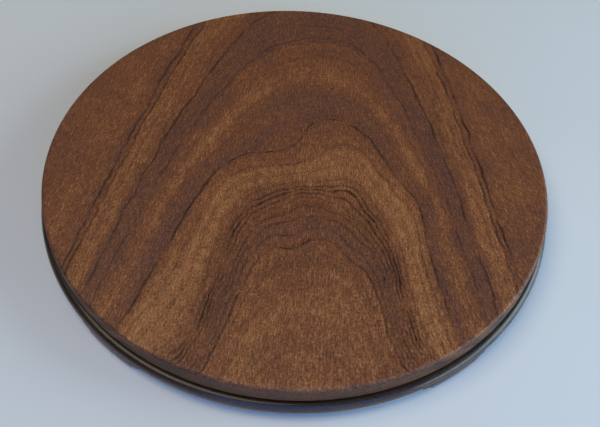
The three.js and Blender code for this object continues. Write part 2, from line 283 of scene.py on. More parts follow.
def moved(shell, turn=0.0, shift=(0, 0, 0)):
    """A shell turned about Z by an angle in radians and then shifted."""
    vertices, faces = shell
    spin = np.array([[cos(turn), -sin(turn), 0], [sin(turn), cos(turn), 0], [0, 0, 1]])
    return vertices @ spin.T + np.array(shift, float), faces


def smooth_shading(mesh, sharp):
    """Shades a mesh smooth except at edges that bend by more than sharp degrees."""
    mesh.shade_smooth()
    mesh.set_sharp_from_angle(angle=radians(sharp))


def object_of(name, shell, sharp=SHARP):
    """A mesh object from a shell."""
    mesh = bpy.data.meshes.new(name)
    mesh.from_pydata(np.asarray(shell[0]).tolist(), [], shell[1])
    smooth_shading(mesh, sharp)
    obj = bpy.data.objects.new(name, mesh)
    bpy.context.scene.collection.objects.link(obj)
    return obj


def drill(obj, cutters, sharp=SHARP):
    """Takes the cutters' shells out of an object for good."""
    tool = object_of("drill", together(cutters))
    cut = obj.modifiers.new("drilled", "BOOLEAN")
    cut.operation = "DIFFERENCE"
    cut.solver = "EXACT"
    cut.object = tool
    evaluated = obj.evaluated_get(bpy.context.evaluated_depsgraph_get())
    mesh = bpy.data.meshes.new_from_object(evaluated)
    obj.modifiers.clear()
    obj.data = mesh
    smooth_shading(mesh, sharp)
    bpy.data.objects.remove(tool)


def finish_piece(obj, material, body, nodes):
    """Gives a piece its material, the body it rides on, and the CAD nodes it stands for."""
    obj.data.materials.clear()
    obj.data.materials.append(material)
    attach(obj, body)
    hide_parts(*nodes)
    return obj


def coordinates(obj):
    """The places of an object's vertices, as an array."""
    flat = np.empty(3 * len(obj.data.vertices))
    obj.data.vertices.foreach_get("co", flat)
    return flat.reshape(-1, 3)


def set_attribute(obj, name, kind, values):
    """Stores one value for each vertex: kind is FLOAT or FLOAT_VECTOR."""
    attribute = obj.data.attributes.new(name, kind, "POINT")
    key = "value" if kind == "FLOAT" else "vector"
    attribute.data.foreach_set(key, np.ascontiguousarray(values, np.float32).ravel())


# ---- wood grain ----

def smooth_step(value, low, high):
    """0 below low, 1 above high, and 3t² - 2t³ between them."""
    t = np.clip((value - low) / (high - low), 0, 1)
    return t * t * (3 - 2 * t)


# Where the top board's growth swells out of its even arches: places across and along the board, the
# swell's width and length, and its rise, in millimetres.
TOP_SWELLS = (
    (-8, 4, 30, 26, 26), (74, -32, 16, 26, -20), (6, -30, 14, 12, -8), (33, -22, 10, 12, -6),
    (-46, -135, 26, 70, 62), (60, -125, 22, 45, 28), (2, -66, 9, 14, 7), (33, -68, 9, 16, 6),
)
# The least and greatest slope of the growth that the lines are drawn for.
STEEP_RANGE = (0.5, 6)
# How far along the board the fibres on each side of the heart would meet, how wide the strip is in which
# one side goes over to the other, and the most that they draw in: millimetres, and a share.
FIBRES_MEET_LEFT, FIBRES_MEET_RIGHT = 850, 330
HEART_HALF_WIDTH = 30
MOST_DRAWN_IN = 0.6
# The width of the strip in which the painted shade and painted reflection on the rim's side set in.
RIM_PAINT_WIDTH = 1.2 * MM


def grow(obj, face, rim, heart, turn=0.0, left=(9, 2.0), right=(8, 2.0), swells=(), lean=6.0):
    """Lays the grain of a sawn board through a piece, as values in millimetres on its vertices.

    ring is the height along the board at which a year's growth crests: along + (across / width) ^ power,
    with its own width and power to the left and right of the heart, plus lean times the height from the
    face, plus each swell, a bell of the place across and along. Its level lines are the arches of a board
    sawn beside the heart. steep is the length of ring's slope: how many times closer the lines lie than on
    an even crest. fibre holds the place across, along and through the board, across being drawn in towards
    the far end so that the fibres fan out as a tapering trunk's do. stain is 1 on the rim's
    side and 0 on the flat faces: it masks the light painted on the rim, painted shade on the top board and
    a painted reflection on the base and feet.
    """
    place = coordinates(obj)
    flat = (place[:, :2] / MM) @ np.array([[cos(turn), -sin(turn)], [sin(turn), cos(turn)]])
    across, along = flat[:, 0] - heart[0], flat[:, 1] - heart[1]
    through = (place[:, 2] - face) / MM
    far_side = across > 0
    width = np.where(far_side, right[0], left[0])
    power = np.where(far_side, right[1], left[1])
    share = abs(across) / width
    ring = along + share ** power + lean * through
    slope_across = np.sign(across) * power / width * share ** (power - 1)
    slope_along = np.ones(len(place))
    for swell_across, swell_along, wide, long, rise in swells:
        aside, beyond = (flat[:, 0] - swell_across) / wide, (flat[:, 1] - swell_along) / long
        bell = rise * np.exp(-aside ** 2 - beyond ** 2)
        ring += bell
        slope_across -= 2 * aside / wide * bell
        slope_along -= 2 * beyond / long * bell
    steep = np.hypot(slope_across, slope_along).clip(*STEEP_RANGE)
    side = smooth_step(across, -HEART_HALF_WIDTH, HEART_HALF_WIDTH)
    gather = (1 - side) / FIBRES_MEET_LEFT + side / FIBRES_MEET_RIGHT
    fan = across / (1 - np.clip(along * gather, -MOST_DRAWN_IN, MOST_DRAWN_IN))
    set_attribute(obj, "ring", "FLOAT", ring)
    set_attribute(obj, "steep", "FLOAT", steep)
    set_attribute(obj, "fibre", "FLOAT_VECTOR", np.column_stack([fan, along, through]))
    radius = np.hypot(place[:, 0], place[:, 1])
    # Mask of the painted light on the rim's side: painted shade on the top board, a painted reflection on
    # the base and feet.
    set_attribute(obj, "stain", "FLOAT", smooth_step(radius, rim - RIM_PAINT_WIDTH, rim))


# ---- materials ----

def add_node(tree, kind, inputs=(), stops=(), **values):
    """Adds a node, sets its values and colour stops, and fills its inputs: a node or a socket is linked."""
    node = tree.nodes.new(kind)
    for name, value in values.items():
        setattr(node, name, value)
    for k, (position, shade) in enumerate(stops):
        ramp = node.color_ramp.elements
        element = ramp[k] if k < 2 else ramp.new(position)
        element.position, element.color = position, shade
    for key, value in dict(inputs).items():
        named = [s for s in node.inputs if s.enabled and s.name == key]
        socket = node.inputs[key] if isinstance(key, int) else named[0]
        if isinstance(value, bpy.types.Node):
            value = next(s for s in value.outputs if s.enabled)
        if isinstance(value, bpy.types.NodeSocket):
            tree.links.new(value, socket)
        else:
            socket.default_value = value
    return node


def new_material(name):
    """An empty material with its output, as the material and its node tree."""
    material = bpy.data.materials.new(name)
    material.use_nodes = True
    material.node_tree.nodes.clear()
    return material, material.node_tree


def close_material(tree, inputs):
    """Ends a tree with the surface shader, given its inputs, and the output."""
    shader = add_node(tree, "ShaderNodeBsdfPrincipled", inputs)
    add_node(tree, "ShaderNodeOutputMaterial", {"Surface": shader})


# Sizes in millimetres across, along and through the board of each pattern in the wood, and its detail.
WOOD_PATTERNS = {
    "drift": ((60, 90, 60), 1),
    "waver": ((9, 14, 9), 4),
    "break": ((8, 22, 8), 1),
    "streak": ((1.0, 22, 1.0), 3),
    "thread": ((0.55, 4.5, 0.55), 2),
    "speck": ((0.8, 1.3, 0.8), 2),
    "mottle": ((4, 8, 4), 3),
    "patch": ((30, 45, 30), 2),
}

# Where single dark growth lines crest along the board, in millimetres, and how dark each one is.
GROWTH_LINES = (
    (-58, 0.7), (-50, 0.4), (-43, 0.5), (-38, 0.55), (-32, 0.5), (-27, 0.75), (-22, 0.9), (-17.5, 0.6),
    (-10, 0.35), (6, 0.3), (20, 0.3), (37, 0.75), (118, 0.45), (160, 0.7), (215, 0.3), (247, 0.7),
    (268, 0.85),
)

# The wood's tone along the growth: each height in millimetres, and from 0 for cool and dense to 1 for pale.
GROWTH_TONES = (
    (-160, 0.5), (-110, 0.62), (-78, 0.5), (-62, 0.55), (-46, 0.3), (-32, 0.5), (-18, 0.45), (2, 0.75),
    (24, 0.62), (42, 0.2), (62, 0.35), (80, 0.66), (96, 0.42), (120, 0.28), (150, 0.22), (172, 0.4),
    (190, 0.52), (232, 0.66), (256, 0.36), (276, 0.3), (310, 0.48), (440, 0.42),
)


# How far the drift and the waver push the growth height, in millimetres.
DRIFT_REACH, WAVER_REACH = 14, 5.5
# Fine growth: its name, the spacing of its lines, their length, in millimetres, and its detail.
FINE_GROWTH = (("band", 9, 160, 2), ("line", 3.2, 60, 3))
# How far from its crest a single dark line starts to fade and ends, in millimetres.
LINE_CORE, LINE_FADE = 0.1, 1.3
# Spacing of the pores across, along and through the board, in millimetres.
PORE_SPACING = (1.1, 5, 1.1)


def wood_fields(tree, fibre):
    """The noises of WOOD_PATTERNS, each about 0 and stretched along the fibre."""
    field = {}
    for key, (size, detail) in WOOD_PATTERNS.items():
        scale = [1 / length for length in size]
        place = add_node(tree, "ShaderNodeMapping", {"Vector": fibre, "Scale": scale})
        noise = add_node(tree, "ShaderNodeTexNoise", {"Vector": place, "Scale": 1.0, "Detail": detail})
        field[key] = add_node(tree, "ShaderNodeMath", {0: noise, 1: 0.5}, operation="SUBTRACT")
    return field


def growth_height(tree, field, ring, steep):
    """The growth height, pushed about by the drift and by a waver of a millimetre or so on the board."""
    drifted = add_node(
        tree, "ShaderNodeMath", {0: field["drift"], 1: DRIFT_REACH, 2: ring}, operation="MULTIPLY_ADD")
    reach = add_node(tree, "ShaderNodeMath", {0: steep, 1: WAVER_REACH}, operation="MULTIPLY")
    return add_node(
        tree, "ShaderNodeMath", {0: field["waver"], 1: reach, 2: drifted}, operation="MULTIPLY_ADD")


def fine_growth(tree, height, fibre):
    """The noises of FINE_GROWTH, each about 0, that run along the level lines of the growth height."""
    parts = add_node(tree, "ShaderNodeSeparateXYZ", {"Vector": fibre})
    growth = {}
    for key, spacing, length, detail in FINE_GROWTH:
        level = add_node(tree, "ShaderNodeMath", {0: height, 1: 1 / spacing}, operation="MULTIPLY")
        run = add_node(tree, "ShaderNodeMath", {0: parts.outputs["Y"], 1: 1 / length}, operation="MULTIPLY")
        place = add_node(tree, "ShaderNodeCombineXYZ", {"X": level, "Y": run})
        noise = add_node(tree, "ShaderNodeTexNoise", {"Vector": place, "Scale": 1.0, "Detail": detail})
        growth[key] = add_node(tree, "ShaderNodeMath", {0: noise, 1: 0.5}, operation="SUBTRACT")
    return growth


def single_lines(tree, height, steep, breaks):
    """The darkness of the single growth lines, which fade on both sides of their crests. They are broken
    along their length."""
    lines = 0.0
    for crest, strength in GROWTH_LINES:
        off = add_node(tree, "ShaderNodeMath", {0: height, 1: crest}, operation="SUBTRACT")
        off = add_node(tree, "ShaderNodeMath", {0: off}, operation="ABSOLUTE")
        off = add_node(tree, "ShaderNodeMath", {0: off, 1: steep}, operation="DIVIDE")
        peak = add_node(tree, "ShaderNodeMapRange", {
            "Value": off, "From Min": LINE_CORE, "From Max": LINE_FADE, "To Min": strength, "To Max": 0.0,
        }, interpolation_type="SMOOTHSTEP")
        lines = add_node(tree, "ShaderNodeMath", {0: lines, 1: peak}, operation="MAXIMUM")
    kept = add_node(tree, "ShaderNodeMapRange", {
        "Value": breaks, "From Min": -0.16, "From Max": 0.1, "To Min": 0.3, "To Max": 1.0})
    return add_node(tree, "ShaderNodeMath", {0: lines, 1: kept}, operation="MULTIPLY")


def ground_tone(tree, height, growth, field):
    """The wood's tone, along the growth by GROWTH_TONES and then by each pattern's share."""
    low, high = GROWTH_TONES[0][0], GROWTH_TONES[-1][0]
    level = add_node(tree, "ShaderNodeMapRange", {"Value": height, "From Min": low, "From Max": high})
    tone = add_node(tree, "ShaderNodeValToRGB", {"Fac": level}, stops=[
        ((crest - low) / (high - low), opaque((share,) * 3)) for crest, share in GROWTH_TONES])
    tone.color_ramp.interpolation = "B_SPLINE"
    mixing = (
        (growth["band"], 0.5), (field["patch"], 0.55), (field["mottle"], 0.5), (field["streak"], 0.5),
        (field["speck"], 0.45), (growth["line"], 0.3))
    for pattern, share in mixing:
        tone = add_node(tree, "ShaderNodeMath", {0: pattern, 1: share, 2: tone}, operation="MULTIPLY_ADD")
    return tone


def wood_material(name, board, darker=1.0, edge=1.0, gloss=0.5, shine=0.5, coat=0.0):
    """Sheesham, turned and sanded, then stained and finished. It gives the eye pointed arches of growth with
    thin dark lines, a ground that shifts from tan to purple-brown, fine streaks, and short open pores."""
    # The rim's side is painted edge times as bright as the flat faces: painted shade where edge is below 1,
    # a painted reflection where it is above 1.
    material, tree = new_material(name)
    ring, steep, stain = (
        add_node(tree, "ShaderNodeAttribute", attribute_name=key).outputs["Fac"]
        for key in ("ring", "steep", "stain"))
    fibre = add_node(tree, "ShaderNodeAttribute", attribute_name="fibre").outputs["Vector"]
    field = wood_fields(tree, fibre)
    height = growth_height(tree, field, ring, steep)
    growth = fine_growth(tree, height, fibre)
    lines = single_lines(tree, height, steep, field["break"])
    tone = ground_tone(tree, height, growth, field)
    ground = add_node(tree, "ShaderNodeValToRGB", {"Fac": tone}, stops=(
        (0.1, opaque(board.purple_grain)),
        (0.48, opaque(board.heartwood)),
        (0.95, opaque(board.pale_grain))))

    # Fine growth lines and the single ones darken the ground.
    fine = add_node(tree, "ShaderNodeMapRange", {
        "Value": growth["line"], "From Min": 0.03, "From Max": 0.25, "To Min": 0.0, "To Max": 0.35})
    darkness = add_node(tree, "ShaderNodeMath", {0: fine, 1: lines}, operation="MAXIMUM")

    # Pale dashes of cut vessels, thickest in the pale bands.
    dash = add_node(tree, "ShaderNodeMapRange", {
        "Value": field["thread"], "From Min": 0.06, "From Max": 0.2, "To Min": 0.0, "To Max": 0.5})
    dash = add_node(tree, "ShaderNodeMath", {0: dash, 1: tone}, operation="MULTIPLY", use_clamp=True)
    ground = add_node(tree, "ShaderNodeMix", {
        "Factor": dash, "A": ground, "B": opaque(board.dust)}, data_type="RGBA")

    # Pores: short dashes along the fibre, drawn about 0.5 mm wide so that they show.
    scale = [1 / length for length in PORE_SPACING]
    place = add_node(tree, "ShaderNodeMapping", {"Vector": fibre, "Scale": scale})
    cells = add_node(tree, "ShaderNodeTexVoronoi", {"Vector": place, "Scale": 1.0, "Randomness": 1.0})
    pore = add_node(tree, "ShaderNodeMapRange", {
        "Value": cells.outputs["Distance"], "From Min": 0.1, "From Max": 0.32, "To Min": 1.0, "To Max": 0.0})
    darkness = add_node(tree, "ShaderNodeMath", {0: pore, 1: 0.38, 2: darkness}, operation="MULTIPLY_ADD")
    mixed = add_node(tree, "ShaderNodeMix", {
        "Factor": darkness, "A": ground, "B": opaque(board.dark_line)}, data_type="RGBA")

    # Hair-fine threads and specks of light and dark, and the light painted on the rim's side:
    # painted shade where edge is below 1, a painted reflection where edge is above 1.
    grit = add_node(tree, "ShaderNodeMath", {0: field["thread"], 1: field["speck"]}, operation="ADD")
    grit = add_node(tree, "ShaderNodeMapRange", {
        "Value": grit, "From Min": -0.35, "From Max": 0.35, "To Min": 0.45, "To Max": 1.5})
    depth = add_node(tree, "ShaderNodeMapRange", {"Value": stain, "To Min": darker, "To Max": edge * darker})
    strength = add_node(tree, "ShaderNodeMath", {0: grit, 1: depth}, operation="MULTIPLY")
    final = add_node(tree, "ShaderNodeMix", {
        "Factor": 1.0, "A": mixed, "B": strength}, data_type="RGBA", blend_type="MULTIPLY")

    rough = add_node(
        tree, "ShaderNodeMath", {0: field["streak"], 1: 0.3, 2: gloss}, operation="MULTIPLY_ADD")
    relief = add_node(tree, "ShaderNodeMath", {0: grit, 1: pore}, operation="SUBTRACT")
    bump = add_node(tree, "ShaderNodeBump", {"Height": relief, "Strength": 0.22, "Distance": 0.12 * MM})
    close_material(tree, {
        "Base Color": final, "Roughness": rough, "Normal": bump, "IOR": 1.45, "Specular IOR Level": shine,
        "Coat Weight": coat, "Coat Roughness": 0.1})
    return material


def steel_material(name, shade, roughness, spangle, relief):
    """Zinc on pressed steel, or polished steel. It gives the eye a soft grey metal with a broad cloudy
    spangle and a fine grit."""
    material, tree = new_material(name)
    place = add_node(tree, "ShaderNodeTexCoord").outputs["Object"]
    crystal = add_node(tree, "ShaderNodeTexVoronoi", {"Vector": place, "Scale": 1 / (spangle * MM)})
    tint = add_node(tree, "ShaderNodeSeparateColor", {"Color": crystal.outputs["Color"]})
    cloud = add_node(tree, "ShaderNodeTexNoise", {"Vector": place, "Scale": 1 / (6 * MM), "Detail": 3.0})
    both = add_node(tree, "ShaderNodeMath", {0: tint, 1: cloud}, operation="ADD")
    value = add_node(tree, "ShaderNodeMapRange", {
        "Value": both, "From Min": 0.3, "From Max": 1.7, "To Min": 0.82, "To Max": 1.08})
    final = add_node(tree, "ShaderNodeMix", {
        "Factor": 1.0, "A": opaque(shade), "B": value}, data_type="RGBA", blend_type="MULTIPLY")
    rough = add_node(tree, "ShaderNodeMapRange", {
        "Value": both, "From Min": 0.3, "From Max": 1.7,
        "To Min": roughness - 0.07, "To Max": roughness + 0.1})
    grit = add_node(tree, "ShaderNodeTexNoise", {"Vector": place, "Scale": 1 / (0.4 * MM), "Detail": 4.0})
    bump = add_node(tree, "ShaderNodeBump", {"Height": grit, "Strength": relief, "Distance": 0.05 * MM})
    close_material(tree, {"Base Color": final, "Metallic": 1.0, "Roughness": rough, "Normal": bump})
    return material


def nylon_material(shade):
    """Moulded natural nylon. It gives the eye a milky, slightly see-through white with a faint cloud."""
    material, tree = new_material("Moulded nylon")
    place = add_node(tree, "ShaderNodeTexCoord").outputs["Object"]
    cloud = add_node(tree, "ShaderNodeTexNoise", {"Vector": place, "Scale": 1 / (3 * MM), "Detail": 3.0})
    value = add_node(tree, "ShaderNodeMapRange", {
        "Value": cloud, "From Min": 0.3, "From Max": 0.7, "To Min": 0.92, "To Max": 1.04})
    final = add_node(tree, "ShaderNodeMix", {
        "Factor": 1.0, "A": opaque(shade), "B": value}, data_type="RGBA", blend_type="MULTIPLY")
    bump = add_node(tree, "ShaderNodeBump", {"Height": cloud, "Strength": 0.1, "Distance": 0.1 * MM})
    close_material(tree, {
        "Base Color": final, "Roughness": 0.42, "Normal": bump, "IOR": 1.53,
        "Subsurface Weight": 0.25, "Subsurface Scale": 1.5 * MM})
    return material


def felt_material(shade):
    """Pressed wool felt. It gives the eye a dull matt mass of crossed fibres with lighter hairs."""
    material, tree = new_material("Pressed wool felt")
    place = add_node(tree, "ShaderNodeTexCoord").outputs["Object"]
    hairs = add_node(tree, "ShaderNodeTexNoise", {
        "Vector": place, "Scale": 1 / (0.5 * MM), "Detail": 5.0, "Distortion": 2.0})
    final = add_node(tree, "ShaderNodeValToRGB", {"Fac": hairs}, stops=(
        (0.35, opaque(tuple(v * 0.55 for v in shade))), (0.7, opaque(tuple(v * 1.9 for v in shade)))))
    bump = add_node(tree, "ShaderNodeBump", {"Height": hairs, "Strength": 0.9, "Distance": 0.2 * MM})
    close_material(tree, {
        "Base Color": final, "Roughness": 0.95, "Normal": bump, "Sheen Weight": 0.4, "Sheen Roughness": 0.5})
    return material


def floor_material(shade):
    """Matt white paint on board. It gives the eye an even pale ground with a barely seen cloud, nine to
    the metre."""
    material, tree = new_material("Matt painted board")
    place = add_node(tree, "ShaderNodeTexCoord").outputs["Object"]
    cloud = add_node(tree, "ShaderNodeTexNoise", {"Vector": place, "Scale": 9.0, "Detail": 3.0})
    value = add_node(tree, "ShaderNodeMapRange", {
        "Value": cloud, "From Min": 0.3, "From Max": 0.7, "To Min": 0.985, "To Max": 1.015})
    final = add_node(tree, "ShaderNodeMix", {
        "Factor": 1.0, "A": opaque(shade), "B": value}, data_type="RGBA", blend_type="MULTIPLY")
    close_material(tree, {"Base Color": final, "Roughness": 0.6, "IOR": 1.45})
    return material


MATERIALS = {}


def shared_material(key):
    """The material kept under a key, made the first time that it is asked for."""
    bearing, wood = settings().bearing, settings().wood
    makers = {
        # The top board's rim side gets painted shade at half brightness; the base's and feet's rim side gets
        # a painted reflection, 3.2 times as bright as their flat faces.
        "top": lambda: wood_material("Oiled sheesham", wood, edge=0.5, gloss=0.52, shine=0.35),
        "base": lambda: wood_material(
            "Stained lacquered sheesham", wood, darker=0.1, edge=3.2, gloss=0.42, coat=0.35),
        "plate": lambda: steel_material("Galvanised sheet steel", bearing.zinc, 0.36, 3.5, 0.2),
        "screw": lambda: steel_material("Yellow passivated zinc", bearing.passivated, 0.3, 0.9, 0.15),
        "ball": lambda: steel_material("Polished chrome steel", colour("#d8d9da"), 0.1, 1.6, 0.02),
        "nylon": lambda: nylon_material(bearing.nylon),
        "felt": lambda: felt_material(bearing.felt),
        "floor": lambda: floor_material(settings().stage.floor),
    }
    if key not in MATERIALS:
        MATERIALS[key] = makers[key]()
    return MATERIALS[key]


# ---- pieces ----

BALLS = nodes_named("ball_0") + nodes_named("ball_1")


def screw_shell(head, head_depth, shank, length, pitch=1.25, drive=1.7, pan=False):
    """A screw that stands on its drive end at height 0 with its shank up.

    The head's face is a grid of radius and angle, sunk where the cross recess is: depth falls with the
    distance outside two crossed bars. The shank is a grid of height and angle whose radius is the core's
    plus the thread's, a triangle wave of height / pitch minus angle / 360 degrees, narrowed to a point at
    the tip.
    """
    columns, face_rows, thread_rows = 40, 16, 44
    face, middle = 0.98 * head, 0.004
    half_bar, recess, recess_wall = 0.18 * drive, 0.62 * head_depth, 0.16 * drive
    crown, pan_round, shoulder = 0.35 * head_depth, 0.3 * head_depth, 0.35 * head_depth
    rim_start, rim_end = 0.12 * head_depth, 0.22 * head_depth
    core, point, point_narrowing = 0.76, 1.8 * shank, 0.85
    a = full_turn(columns)
    face_r = face * np.sqrt(np.linspace(middle, 1, face_rows))[:, None] * np.ones(columns)
    x, y = face_r * np.cos(a), face_r * np.sin(a)
    beside = np.minimum(np.maximum(abs(x) - half_bar, 0), np.maximum(abs(y) - half_bar, 0))
    beyond = np.maximum(np.hypot(x, y) - drive, 0)
    sink = recess * (1 - smooth_step(np.maximum(beside, beyond), 0, recess_wall))
    dome = crown * (face_r / head) ** 2 if pan else 0 * face_r
    rows = [np.stack([x, y, sink + dome], -1)]
    if pan:
        curve = arc((head - pan_round, head_depth - shoulder), pan_round, -20, 90, 5)
        neck = np.vstack([curve, [[head - shoulder, head_depth], [shank, head_depth]]])
    else:
        neck = np.array([[head, rim_start], [head, rim_end], [shank, head_depth]])
    ring = np.ones(columns)
    for r, z in neck:
        rows.append(np.stack([r * np.cos(a), r * np.sin(a), z * ring], -1)[None])
    z = np.linspace(head_depth, length, thread_rows)[1:, None] * ring
    phase = (z / pitch - a / (2 * pi)) % 1
    thread = 1 - 2 * abs(phase - 0.5)
    taper = 1 - point_narrowing * smooth_step(z, length - point, length)
    r = shank * taper * (core + (1 - core) * thread)
    rows.append(np.stack([r * np.cos(a), r * np.sin(a), z], -1))
    return closed_grid(np.concatenate(rows))


def round_shell(outline, centre=(0, 0), sides=48):
    """A small turned solid from an outline in millimetres, as a cutter."""
    return turned(np.array(outline, float) * MM, sides, centre)


def countersink(face, mouth, bore, depth, end):
    """The outline in millimetres of a cutter for a hole up from a face: a cone that narrows from the mouth,
    a millimetre outside the face, to the bore at a depth, and the bore from there to its end."""
    return [(0, face - 1), (mouth, face - 1), (bore, face + depth), (bore, face + end), (0, face + end)]


def bolt_places():
    """Where the four screws of the lower plate stand."""
    return [centre_of(node) for node in nodes_named("lower_plate_screw_")]


class TURNTABLE_OT_top_board(bpy.types.Operator):
    """Turns the top board, with its rounded rim and the pocket for the bearing underneath"""

    bl_idname = "turntable.top_board"
    bl_label = "Top board"

    def execute(self, context):
        wood = settings().wood
        radius, low, high = TOP_HIGH.x, TOP_LOW.z, TOP_HIGH.z
        pocket, ceiling = wood.pocket_radius, BEARING_CEILING
        up, down = wood.upper_round, wood.lower_round
        corner, chamfer = 0.8 * MM, 0.5 * MM
        profile = np.vstack([
            stretch((0, ceiling), (pocket - corner, ceiling), 20),
            arc((pocket - corner, ceiling - corner), corner, 90, 0, 4),
            stretch((pocket, low + chamfer), (pocket + chamfer, low), 2),
            stretch((pocket + chamfer, low), (radius - down, low), 24),
            arc((radius - down, low + down), down, -90, 0, 6),
            stretch((radius, low + down), (radius, high - up), 5)[1:],
            arc((radius - up, high - up), up, 0, 90, 10),
            stretch((radius - up, high), (0, high), 84)[1:],
            [(0, high)],
        ])
        board = object_of("top_board", turned(profile, wood.sides))
        grow(board, high, radius, heart=(20, 0), left=(17, 2.8), right=(5.6, 2.0), swells=TOP_SWELLS)
        finish_piece(board, shared_material("top"), "turntable", ["top_disc"])
        return {"FINISHED"}


class TURNTABLE_OT_base_board(bpy.types.Operator):
    """Turns the base board, with its pocket, its countersunk holes and the hole for a screwdriver"""

    bl_idname = "turntable.base_board"
    bl_label = "Base board"

    def execute(self, context):
        wood = settings().wood
        radius, low, high = BASE_HIGH.x, BASE_LOW.z, BASE_HIGH.z
        pocket, bed = wood.pocket_radius, BEARING_BED
        up, down = wood.base_upper_round, wood.base_lower_round
        lip = 0.4 * MM
        profile = np.vstack([
            stretch((0, low), (radius - down, low), 40),
            arc((radius - down, low + down), down, -90, 0, 8),
            arc((radius - up, high - up), up, 0, 90, 8),
            stretch((radius - up, high), (pocket + lip, high), 24)[1:],
            [(pocket + lip, high), (pocket, high - lip), (pocket, bed)],
            stretch((pocket, bed), (0, bed), 18)[1:],
            [(0, bed)],
        ])
        board = object_of("base_board", turned(profile, wood.sides))
        bolt_hole = countersink(low / MM, mouth=5, bore=2.3, depth=1.7, end=9)
        driver_hole = countersink(low / MM, mouth=8.6, bore=7.5, depth=0.2, end=9)
        driver_place = (0, -settings().bearing.hole_offset * sqrt(2))
        cutters = [round_shell(bolt_hole, place.xy) for place in bolt_places()]
        cutters.append(round_shell(driver_hole, driver_place, 64))
        drill(board, cutters)
        grow(board, high, radius, heart=(-46, 30), turn=radians(24))
        finish_piece(board, shared_material("base"), "base", ["base_disc"])
        return {"FINISHED"}


class TURNTABLE_OT_feet(bpy.types.Operator):
    """Shapes the bracket feet, whose ends cove up and whose outer faces follow the rim, and drills them"""

    bl_idname = "turntable.feet"
    bl_label = "Feet"

    def execute(self, context):
        screw_hole = countersink(FOOT_LOW.z / MM, mouth=4.2, bore=1.9, depth=1.6, end=12)
        for i, node in enumerate(nodes_named("foot_pad_")):
            name = node.replace("pad_", "")
            turn = foot_turn(node)
            rim = furthest_out(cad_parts[name])
            foot = object_of(f"bracket_{name}", moved(foot_shell(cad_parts[name]), turn))
            drill(foot, [round_shell(screw_hole, place.xy, 40) for place in foot_screw_places(i + 1)])
            grow(foot, FOOT_HIGH.z, rim, heart=(-30, -100), turn=turn + radians(90))
            finish_piece(foot, shared_material("base"), "base", [name])
        return {"FINISHED"}


def furthest_out(obj):
    """The distance from the bearing's axis to the furthest vertex."""
    place = coordinates(obj)
    return float(np.hypot(place[:, 0], place[:, 1]).max())


def foot_turn(pad):
    """The turn about Z that carries the foot facing -Y over a pad."""
    place = centre_of(pad)
    return float(np.arctan2(place.y, place.x)) + pi / 2


def foot_screw_places(number):
    """Where the two screws of a foot stand."""
    return [centre_of(node) for node in nodes_named(f"foot_screw_{number}")]


# A foot's inner radius, half its length at the top and at the sole, how thick its ends are, how far its
# coves reach in, and the rounding of its outer edge.
FOOT_INNER_RADIUS = 127 * MM
FOOT_HALF_TOP, FOOT_HALF_SOLE = 21 * MM, 15 * MM
FOOT_WING_THICKNESS, FOOT_COVE_REACH, FOOT_EDGE_ROUND = 0.8 * MM, 1.5 * MM, 1.2 * MM
# The most of a wing's thickness that the rounding takes.
FOOT_EDGE_SHARE = 0.45


def foot_shell(node):
    """A foot facing -Y. Its underside is flat in the middle, and a cove, a quadratic curve, lifts each end
    to a thin lip. At each station across, the section runs down the inner face, out along the underside,
    round the outer edge and up the outer face; a point at radius r stands at y = -sqrt(r^2 - x^2)."""
    outer, inner = furthest_out(node), FOOT_INNER_RADIUS
    top, sole = FOOT_HIGH.z, FOOT_LOW.z
    lip = coordinates(node)[:, 2].max() - FOOT_WING_THICKNESS
    t = np.linspace(0, 1, 15)[:, None]
    tip, bend, end = (
        np.array(point)
        for point in ((FOOT_HALF_TOP, lip), (FOOT_HALF_SOLE + FOOT_COVE_REACH, lip), (FOOT_HALF_SOLE, sole)))
    cove = (1 - t) ** 2 * tip + 2 * t * (1 - t) * bend + t ** 2 * end
    middle = stretch((FOOT_HALF_SOLE, sole), (-FOOT_HALF_SOLE, sole), 24)[1:]
    outline = np.vstack([cove, middle, cove[::-1] * (-1, 1)])
    rows = []
    for x, bottom in outline:
        edge = min(FOOT_EDGE_ROUND, FOOT_EDGE_SHARE * (top - bottom))
        section = np.vstack([
            stretch((inner, top), (inner, bottom), 3),
            stretch((inner, bottom), (outer - edge, bottom), 8),
            arc((outer - edge, bottom + edge), edge, -90, 0, 6),
            [(outer, top)],
        ])
        y = -np.sqrt(section[:, 0] ** 2 - x ** 2)
        rows.append(np.column_stack([np.full(len(y), x), y, section[:, 1]]))
    return closed_grid(np.stack(rows))


class TURNTABLE_OT_foot_pads(bpy.types.Operator):
    """Punches the felt pads under the feet"""

    bl_idname = "turntable.foot_pads"
    bl_label = "Felt pads"

    def execute(self, context):
        for node in nodes_named("foot_pad_"):
            low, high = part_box(node)
            centre, radius, soft = (low + high) / 2, (high.x - low.x) / 2, 0.32 * MM
            profile = np.vstack([
                stretch((0, low.z), (radius - soft, low.z), 8),
                arc((radius - soft, low.z + soft), soft, -90, 0, 4),
                arc((radius - soft, high.z - soft), soft, 0, 90, 4),
                stretch((radius - soft, high.z), (0, high.z), 8)[1:],
                [(0, high.z)],
            ])
            vertices, faces = turned(profile, 64, centre.xy)
            out = vertices[:, :2] - np.array(centre.xy)
            a = np.arctan2(out[:, 1], out[:, 0])
            # The cut edge wavers by a share of the radius, differently on each pad.
            waver = 0.008 * (1 + np.sin(11 * a + 3 * centre.x / MM) * np.sin(7 * a))
            vertices[:, :2] = np.array(centre.xy) + out * (1 - waver)[:, None]
            pad = object_of(f"felt_{node}", (vertices, faces))
            finish_piece(pad, shared_material("felt"), "base", [node])
        return {"FINISHED"}


